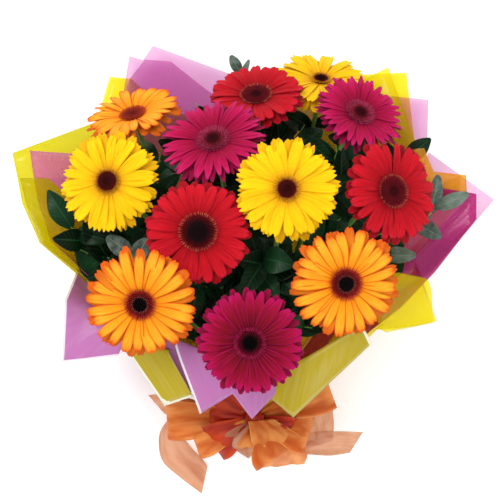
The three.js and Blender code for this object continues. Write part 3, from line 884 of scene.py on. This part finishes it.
def sprig(name, rng, plan):
    slot, end, extras, finish, leaves = plan
    end = Vector(end)
    path = stalk_path(slot, end, (end - TIE_PLAN).normalized())
    twigs = new_mesh()
    blades = new_mesh()
    radii = [SPRIG_RADIUS * MM * (1.1 - 0.5 * i / len(path)) for i in range(len(path))]
    tube(twigs, [spot(point) for point in path], radii, 7, rng.random())
    for share, tip, width in leaves:
        leaf(blades, rng, share_point(path, share)[0], Vector(tip), width, finish is GUM)
    width = 24 if finish is LEAF else 17
    extra_leaves(blades, rng, path, extras, finish, width)
    for tip in side_twigs.get(name, ()):
        fork, heading = share_point(path, 0.55)
        tip = Vector(tip)
        bow = fork + heading * (tip - fork).length * 0.45
        twig = [fork.lerp(bow, i / 10).lerp(bow.lerp(tip, i / 10), i / 10) for i in range(11)]
        thin = [SPRIG_RADIUS * MM * (0.9 - 0.05 * i) for i in range(11)]
        tube(twigs, [spot(point) for point in twig], thin, 6, rng.random())
        extra_leaves(blades, rng, twig, 11, finish, width, 0.3)
    bmesh.ops.recalc_face_normals(twigs, faces=twigs.faces)
    piece("blades_" + name, blades, [finish], [name], thickness=LEAF_SKIN, rounds=1)
    piece("twig_" + name, twigs, [STALK])


for order, (name, plan) in enumerate(sprigs.items()):
    sprig(name, random.Random(70 + order), plan)


# ---------------------------------------------------------------- wrapping film

# Each sheet: its finish, its layer from the inside out, where on the bundle it is gathered in
# degrees from first to last, the crest of its outward fold if it has one, its outer edge, and
# which of its edges show a pale rim. Some sheets have no solid and lie over or under another
films = {
    "film_pink_front": ("pink_backed", 0, -62, 14,
                        [(-78, -92, 172), (-36, -108, 177), (0, -116, 178), (30, -114, 179)],
                        [(-53, -173, 143), (-18, -150, 160), (2, -177, 154), (26, -149, 168)], "left"),
    "film_yellow_front_left": ("yellow_backed", 1, -84, -44, [(-138, -86, 156), (-84, -104, 168)],
                               [(-91, -166, 134), (-60, -154, 146)], "left end"),
    "film_yellow_front_right": ("yellow_backed", 1, 8, 66,
                                [(22, -126, 165), (60, -110, 172), (114, -80, 158)],
                                [(22, -156, 150), (46, -178, 136), (129, -98, 144)], "right"),
    "film_pink_left_low": ("pink_backed", 2, -108, -72,
                           [(-172, -54, 42), (-172, -64, 80), (-150, -84, 128), (-128, -94, 140)],
                           [(-196, -20, 44), (-204, -55, 92), (-202, -120, 120), (-140, -112, 140)], "end"),
    "film_yellow_right": ("yellow", 2, 68, 106, [(134, -84, 142), (168, -67, 108), (166, -44, 48)],
                          [(146, -88, 138), (204, -78, 112), (188, -14, 54)], "end"),
    "film_yellow_left": ("yellow_deep", 1, -152, -100, None,
                         [(-150, 160, 18), (-267, 109, 66), (-257, 53, 60), (-237, 8, 62),
                          (-186, -30, 94)], ""),
    "film_pink_left": ("pink_milky", 0, -146, -102, None,
                       [(-168, 108, 44), (-246, 111, 74), (-238, 56, 70), (-222, 10, 76),
                        (-176, -28, 110)], ""),
    "film_pink_right": ("pink", 0, 104, 138, None, [(200, -22, 102), (272, 56, 78), (202, 110, 60)], ""),
    "film_yellow_right_back": ("yellow", 1, 115, 165, None,
                               [(207, 12, 50), (238, 57, 52), (240, 84, 48), (208, 74, 40), (161, 213, 18),
                                (88, 176, 12)], ""),
    "film_pink_back": ("pink", 2, 135, 213, None,
                       [(206, 100, 14), (209, 176, 12), (110, 186, 8), (-14, 203, 9), (-113, 238, 18),
                        (-125, 222, 14), (-141, 227, 14), (-158, 120, 14)], ""),
    "film_yellow_back": ("yellow", 3, 137, 221, None,
                         [(196, 110, 2), (184, 209, 4), (90, 204, 3), (36, 160, 2), (-96, 160, 2),
                          (-140, 202, 2), (-165, 204, 4), (-190, 120, 2)], ""),
    "film_pink_back_over": ("pink", 1.5, 150, 205, None,
                            [(40, 130, 10), (-50, 187, 10), (-93, 221, 11), (-123, 223, 12), (-142, 199, 12),
                             (-158, 140, 12)], ""),
    "film_yellow_left_over": ("yellow_deep", -1, -140, -103, None,
                              [(-196, 81, 59), (-256, 80, 80), (-249, 50, 77), (-231, 8, 86),
                               (-178, -29, 120)], ""),
    "film_yellow_right_over": ("yellow", -1, 72, 100,
                               [(126, -56, 140), (158, -24, 134), (188, -30, 124)],
                               [(138, -84, 141), (174, -82, 128), (198, -78, 117)], ""),
    "film_pink_front_under": ("pink_backed", 0.5, -76, -42, [(-108, -92, 162), (-62, -98, 166)],
                              [(-78, -146, 143), (-42, -154, 146)], ""),
    # This sheet is painted darker, as the shade of the dark inside of the bunch below it.
    "film_pink_right_over": ("pink_dark", -1, 98, 124, None,
                             [(162, -62, 120), (200, -24, 112), (249, 34, 92), (250, 62, 88),
                              (186, 72, 96)], ""),
}


def film_line(layer, angle, outer, crest):
    """The planned points that one line of film follows, from its skirt to its outer edge."""
    radius = WRAP_RADIUS + layer * WRAP_PITCH
    across, forward = radius * math.sin(angle), radius * math.cos(angle)
    gathered = bundle_point(across, forward, NECK)
    bend = crest if crest else gathered.lerp(outer, 0.6)
    if not crest:
        bend.z = bend.z * min(max((outer.z - FLAT_BELOW) / LIFT_OVER, 0), 1) - layer * WRAP_DROP
    wall = gathered.lerp(bend, 0.5) + (FRONT * math.cos(angle) + SIDE * math.sin(angle)) * layer * WRAP_DROP
    skirt, waist = bundle_point(across, forward, -WRAP_SKIRT), bundle_point(across, forward, -NECK / 2)
    return [skirt, waist, gathered, wall, bend, outer]


def film(name, rng, plan):
    """A sheet gathered round the bundle that opens to its outer edge, with soft radiating folds."""
    kind, layer, first, last, crest, edge, rims = plan
    crest = line_of(crest) if crest else None
    edge = line_of(edge)
    floor = FILM / 2 + (OUTER_LAYER - layer) * FLOOR_PITCH
    outward = FRONT if crest else UP
    seed = rng.uniform(0, 90)
    lines = {}

    def shape(across, along):
        u = (across + 1) / 2
        if u not in lines:
            angle = math.radians(first + (last - first) * u)
            lines[u] = film_line(layer, angle, between(edge, u), between(crest, u) if crest else None)
        point = through(lines[u], min(1.8 * along, 0.1 + 0.9 * along))
        fold = noise.noise(Vector((u * 7 + seed, along * 1.2, seed)))
        fold += 0.3 * noise.noise(Vector((u * 18 + seed, along * 2.0, seed)))
        depth = (1.0 if crest else 3.0) * smooth_step(along, 0.15, 0.5)
        depth *= 1 - 0.5 * smooth_step(along, 0.85, 1.0)
        point = point + outward * fold * depth
        point.z = max(point.z, floor)
        return spot(point)

    width = sum((b - a).length for a, b in zip(edge, edge[1:]))

    def edge_distance(across, along):
        far = [NO_RIM]
        if "end" in rims:
            far.append((shape(across, along) - shape(across, 1.0)).length / MM)
        if "left" in rims and along > FLAP_FROM:
            far.append((across + 1) / 2 * width)
        if "right" in rims and along > FLAP_FROM:
            far.append((1 - across) / 2 * width)
        return min(far)

    mesh = new_mesh()
    laid_grid(mesh, 12 * (len(edge) - 1), 44, shape, rng.random(), edge_distance)
    stands_for = [name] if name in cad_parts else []
    sheet = piece("sheet_" + name, mesh, [FILMS[kind]], stands_for, SHEET_SKIN)
    declare_sheet(shape)


for order, (name, plan) in enumerate(films.items()):
    film(name, random.Random(90 + order), plan)

# The loose corner of yellow film that is tucked in behind the right-hand red head: its two edges
slip_edges = [line_of(line) for line in (
    ((194, 114, 76), (204, 87, 80), (240, 83, 82)), ((182, 112, 78), (184, 62, 84), (240, 59, 84)))]


def slip_shape(across, along):
    outer, inner = (between(line, along) for line in slip_edges)
    point = outer.lerp(inner, (across + 1) / 2)
    return spot(point + UP * 0.8 * math.sin(along * 6 + across * 3))


slip_mesh = new_mesh()
laid_grid(slip_mesh, 20, 20, slip_shape, 0.4)
slip = piece("sheet_film_yellow_slip", slip_mesh, [FILMS["amber"]], thickness=SHEET_SKIN)
declare_sheet(slip_shape)


# ---------------------------------------------------------------- ribbon and tie

# Each loose end of the ribbon: its finish, how deep its pleats are, and its two edges from
# the knot out
ribbon_ends = {
    "ribbon_end_left": (
        ["ribbon_tail_left"], "pale", 0.7,
        [(-8, -214, 66), (-44, -200, 68), (-84, -186, 76), (-99, -200, 66), (-104, -224, 46),
         (-100, -246, 26), (-80, -268, 10), (-57, -287, 3)],
        [(-8, -226, 58), (-38, -222, 58), (-70, -198, 70), (-85, -200, 62), (-76, -214, 44), (-66, -230, 28),
         (-57, -243, 12), (-50, -254, 4)]),
    "ribbon_end_centre": (
        ["ribbon_tail_centre"], "orange", 3.0,
        [(-2, -188, 96), (2, -214, 92), (5, -236, 70), (6, -250, 42)],
        [(26, -186, 96), (54, -204, 93), (64, -226, 70), (62, -244, 44)]),
    "ribbon_end_right": (
        ["ribbon_tail_right"], "pale", 0.7,
        [(24, -218, 64), (64, -206, 62), (98, -204, 62), (128, -206, 56)],
        [(24, -230, 56), (62, -232, 50), (92, -234, 48), (114, -232, 42)]),
    "ribbon_end_flare": (
        [], "pale", 1.0,
        [(-6, -196, 86), (-46, -172, 86), (-86, -160, 80), (-114, -162, 72)],
        [(-10, -210, 80), (-48, -202, 78), (-76, -190, 72), (-96, -184, 66)]),
    "ribbon_panel_right": (
        [], "pale", 0.8,
        [(40, -192, 74), (60, -186, 76), (64, -204, 66), (64, -226, 50)],
        [(58, -174, 78), (88, -168, 78), (94, -190, 68), (94, -216, 54)]),
}

# Each loop of the bow: its finish, the way it points in degrees, its length, its width, how
# high it stands and how far it rolls over
# The deep finish is partly painted shade, for loops that lie under the film flaps.
ribbon_loops = {
    "ribbon_loop_left": ("orange", 182, 98, 48, 22, 0.25),
    "ribbon_loop_left_low": ("orange", 200, 72, 46, 20, -0.3),
    "ribbon_loop_left_short": ("deep", 212, 55, 48, 27, 0.3),
    "ribbon_loop_low": ("pale", 236, 42, 40, 22, 0.1),
    "ribbon_loop_middle": ("orange", 256, 38, 42, 20, 0.1),
    "ribbon_loop_right_low": ("orange", -58, 52, 58, 20, 0.1),
    "ribbon_loop_right": ("orange", 20, 90, 46, 20, -0.2),
    "ribbon_loop_right_side": ("orange", -18, 64, 44, 20, 0.2),
    "ribbon_loop_right_short": ("deep", -20, 44, 38, 24, -0.4),
    "ribbon_loop_left_high": ("deep", 160, 52, 44, 30, 0.2),
    "ribbon_loop_right_high": ("orange", 25, 46, 38, 26, -0.2),
}
KNOT = bundle_point(0, 38, 20)


def ribbon_piece(name, nodes, finish, columns, rows, shape, tone):
    mesh = new_mesh()
    laid_grid(mesh, columns, rows, shape, tone)
    ribbon = piece(name, mesh, [ORGANZAS[finish]], nodes, thickness=SHEET_SKIN)
    declare_sheet(shape, columns, rows)


def ribbon_end(name, rng, plan):
    nodes, finish, pleat, left, right = plan
    left, right = line_of(left), line_of(right)
    phase = rng.uniform(0, 6)

    def shape(across, along):
        start, end = through(left, along), through(right, along)
        heading = through(left, min(along + 0.01, 1)) - through(left, max(along - 0.01, 0))
        normal = heading.cross(end - start).normalized()
        depth = pleat * (0.35 + 0.65 * math.sin(math.pi * along))
        wave = math.sin(across * 7 + phase + along * 3) + 0.4 * math.sin(across * 15 + phase * 2)
        return spot(start.lerp(end, (across + 1) / 2) + normal * wave * depth * 0.6)

    ribbon_piece(name, nodes, finish, 20, 14 * (len(left) - 1), shape, rng.random())


def ribbon_loop(name, rng, plan):
    """A loop that leaves the knot pleated, opens out and comes back under itself."""
    finish, towards, length, width, height, roll = plan
    angle = math.radians(towards)
    outward, sideways = round_ways(angle)
    phase, folds = rng.uniform(0, 6), rng.uniform(8, 11)

    def shape(across, along):
        turn = math.pi * along
        far = max(math.sin(turn), 0) ** 0.8
        open_share = smooth_step(far, 0.0, 0.85)
        half = width / 2 * (0.34 + 0.66 * open_share)
        rise = height * math.sin(2 * turn) * 0.5
        lean = roll * open_share
        across_way = sideways * math.cos(lean) + UP * math.sin(lean)
        normal = UP * math.cos(lean) - sideways * math.sin(lean)
        pleat = (3.4 - 1.6 * open_share) * math.sin(across * folds * 0.5 + phase + far * 0.8)
        pleat += 1.2 * math.sin(across * folds + phase * 1.7)
        middle = KNOT + outward * (6 + (length - 6) * far) + UP * rise
        droop = UP * (-0.10 * length * far * far)
        return spot(middle + across_way * across * half + normal * pleat * 0.6 + droop)

    nodes = ["ribbon_bow"] if name == "ribbon_loop_left" else []
    ribbon_piece(name, nodes, finish, 22, 44, shape, rng.random())


def ribbon_band():
    """The band round the wrap under the bow, and the pleated knot that covers its middle."""
    rng = random.Random(131)
    phase = rng.uniform(0, 6)

    def band(across, along):
        angle = 2 * math.pi * along * 0.999
        radius = 29.3 + 0.5 * math.sin(across * 9 + phase + 2 * math.sin(angle))
        return spot(bundle_point(radius * math.sin(angle), radius * math.cos(angle), across * 13))

    def knot(across, along):
        angle = math.pi * (1.9 * along - 0.95)
        radius = 8.5 + 1.1 * math.sin(across * 11 + phase) - 2.4 * across * across
        centre = KNOT + Vector((0, 0, 1))
        rolled = (FRONT * math.cos(angle) + AXIS * math.sin(angle)) * radius
        return spot(centre + SIDE * across * 10 + rolled)

    ribbon_piece("ribbon_band", [], "orange", 12, 64, band, rng.random())
    # The knot takes the deep finish, which is partly painted shade.
    ribbon_piece("ribbon_knot", [], "deep", 16, 30, knot, rng.random())


for order, (name, plan) in enumerate(ribbon_ends.items()):
    ribbon_end(name, random.Random(110 + order), plan)
for order, (name, plan) in enumerate(ribbon_loops.items()):
    ribbon_loop(name, random.Random(120 + order), plan)
ribbon_band()

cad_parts["tie_string"].data.materials.clear()
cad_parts["tie_string"].data.materials.append(TWINE)


# ---------------------------------------------------------------- stage, light and camera

FLOOR_SIZE = 6.0
FLOOR_GLOW = 0.22
GLOSS_DIMMING = 0.72
CAMERA_OFFSET = Vector((-0.005, 0.190, 1.308))
CAMERA_LENS = 82.3
SENSOR_WIDTH = 36.0

floor_mesh = bmesh.new()
bmesh.ops.create_grid(floor_mesh, x_segments=1, y_segments=1, size=FLOOR_SIZE / 2)
floor_data = bpy.data.meshes.new("floor")
floor_mesh.to_mesh(floor_data)
floor_mesh.free()
floor = bpy.data.objects.new("floor", floor_data)
bpy.context.scene.collection.objects.link(floor)
floor_data.materials.append(material("floor_white", Base_Color=colour("f6f6f6"), Roughness=0.9,
                                     Emission_Color=colour("ffffff"), Emission_Strength=FLOOR_GLOW)[0])

scene = bpy.context.scene
scene.view_settings.view_transform = "Standard"
world = bpy.data.worlds.new("studio")
world.use_nodes = True
sky = world.node_tree
sky.nodes["Background"].inputs["Color"].default_value = (1.0, 1.0, 1.0, 1.0)
gloss_ray = add(sky, "ShaderNodeLightPath").outputs["Is Glossy Ray"]
seen_in_gloss = times(sky, gloss_ray, GLOSS_DIMMING)
join(sky, maths(sky, "SUBTRACT", 1.0, seen_in_gloss), sky.nodes["Background"].inputs["Strength"])
scene.world = world


def soft_light(name, place, aim, size, power):
    data = bpy.data.lights.new(name, "AREA")
    data.shape = "SQUARE"
    data.size = size
    data.energy = power
    lamp = bpy.data.objects.new(name, data)
    lamp.location = place
    lamp.rotation_euler = (Vector(aim) - Vector(place)).to_track_quat("-Z", "Y").to_euler()
    scene.collection.objects.link(lamp)


soft_light("key", (-0.9, 0.9, 1.9), (0, 0, 0.1), 1.0, 22.0)
soft_light("fill", (1.2, -0.8, 1.6), (0, 0, 0.1), 1.4, 10.0)

camera_data = bpy.data.cameras.new("camera")
camera_data.lens = CAMERA_LENS
camera_data.sensor_width = SENSOR_WIDTH
camera = bpy.data.objects.new("camera", camera_data)
camera.location = TIE + CAMERA_OFFSET
scene.collection.objects.link(camera)
scene.camera = camera
